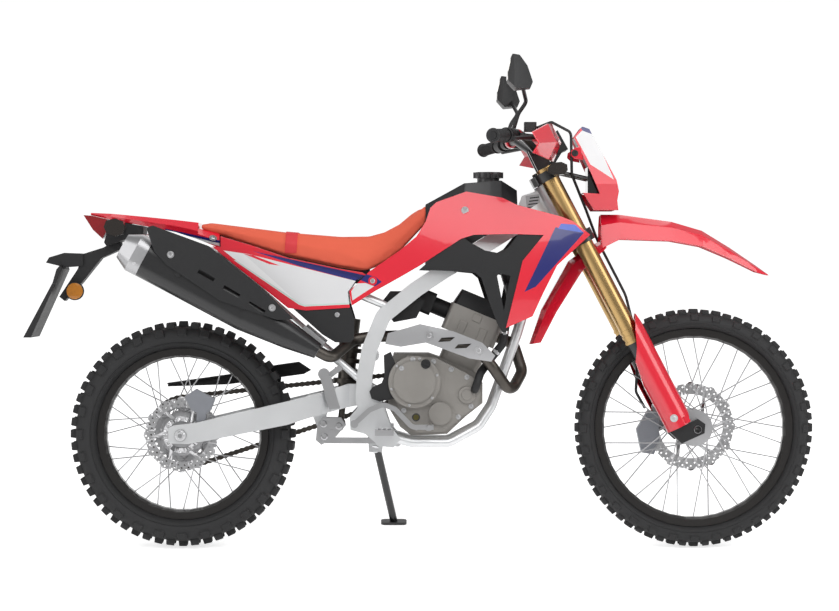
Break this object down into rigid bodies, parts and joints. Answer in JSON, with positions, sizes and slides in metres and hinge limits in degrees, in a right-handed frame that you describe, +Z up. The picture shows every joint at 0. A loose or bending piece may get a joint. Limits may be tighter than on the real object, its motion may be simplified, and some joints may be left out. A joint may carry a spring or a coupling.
{
  "type": "dual sport motorcycle",
  "caption": "Dual sport motorcycle with wire-spoked wheels, red bodywork, high muffler and orange-red bench seat, leaning on its side stand.",
  "frame": {"origin": "on the ground plane under the middle of the bounding box", "axes": "+X ahead (along the bike), +Y to the rider's left, +Z up; the bike leans 9 degrees to its left on its stand"},
  "size_m": [2.24, 0.8946, 1.4223],
  "materials": {
    "amber_lens": "smoked",
    "black_paint": "semi-gloss black",
    "black_plastic": "grained",
    "black_rim": "black rim",
    "black_rubber": "hose",
    "black_rubber_plastic": "soft black",
    "caliper_grey": "cast",
    "clear_lens": "clear",
    "dark_steel": "oiled dark steel",
    "engine_grey": "warm grey casting",
    "gold_anodised": "gold",
    "red_gloss": "vivid red",
    "red_lens": "dark red lens",
    "seat_cover": "orange red grained",
    "silver_alloy": "satin alloy",
    "silver_paint": "satin silver",
    "steel": "machined steel",
    "tyre": "block tread rubber"
  },
  "bodies": {
    "chassis": {"chain": "dark_steel", "frame": "silver_paint", "engine_cases": "engine_grey", "cylinder_head": "engine_grey", "engine_covers": "engine_grey", "intake": "black_plastic", "exhaust_header": "dark_steel", "header_shield": "silver_alloy", "muffler": "black_paint", "muffler_end_cap": "silver_alloy", "muffler_shield": "black_plastic", "radiator": "black_plastic", "swingarm": "silver_paint", "shock_absorber": "dark_steel", "shock_linkage": "steel", "chain_guard": "black_plastic", "rear_caliper": "caliper_grey", "foot_controls": "steel", "footpegs": "steel", "fuel_tank": "red_gloss", "seat": "seat_cover", "shrouds": "red_gloss", "inner_covers": "black_plastic", "side_covers": "red_gloss", "lower_covers": "black_plastic", "tail_cowl": "red_gloss", "tail_light": "red_lens", "rear_mudguard": "black_plastic", "rear_signals": "amber_lens"},
    "steering": {"fork_tubes": "gold_anodised", "triple_clamps": "black_paint", "fork_legs": "black_paint", "fork_guards": "red_gloss", "front_fender": "red_gloss", "headlight_cowl": "red_gloss", "headlight": "clear_lens", "meter": "black_plastic", "handlebar": "black_paint", "hand_controls": "black_rubber_plastic", "knuckle_guards": "red_gloss", "mirrors": "black_rubber_plastic", "front_caliper": "caliper_grey", "front_signals": "amber_lens", "control_cables": "black_rubber"},
    "front_wheel": {"front_tyre": "tyre", "front_rim": "black_rim", "front_hub": "silver_alloy", "front_disc": "steel"},
    "rear_wheel": {"rear_tyre": "tyre", "rear_rim": "black_rim", "rear_hub": "silver_alloy", "rear_disc": "steel", "rear_sprocket": "steel"},
    "stand": {"side_stand": "black_paint"}
  },
  "joints": [
    {"name": "steering", "type": "hinge", "parent": "chassis", "child": "steering", "pos_m": [0.58748, -0.117, 0.57125], "axis": [-0.4617, 0.1388, 0.8761], "range_deg": [-45, 45]},
    {"name": "front_wheel_spin", "type": "hinge", "parent": "steering", "child": "front_wheel", "pos_m": [0.781, -0.15415, 0.3367], "axis": [0, 0.9877, -0.1564], "continuous": true},
    {"name": "rear_wheel_spin", "type": "hinge", "parent": "chassis", "child": "rear_wheel", "pos_m": [-0.674, -0.1568, 0.31991], "axis": [0, 0.9877, -0.1564], "continuous": true},
    {"name": "side_stand", "type": "hinge", "parent": "chassis", "child": "stand", "pos_m": [-0.126, -0.03617, 0.26334], "axis": [0.1234, 0.9157, 0.3824], "range_deg": [0, 103]}
  ]
}
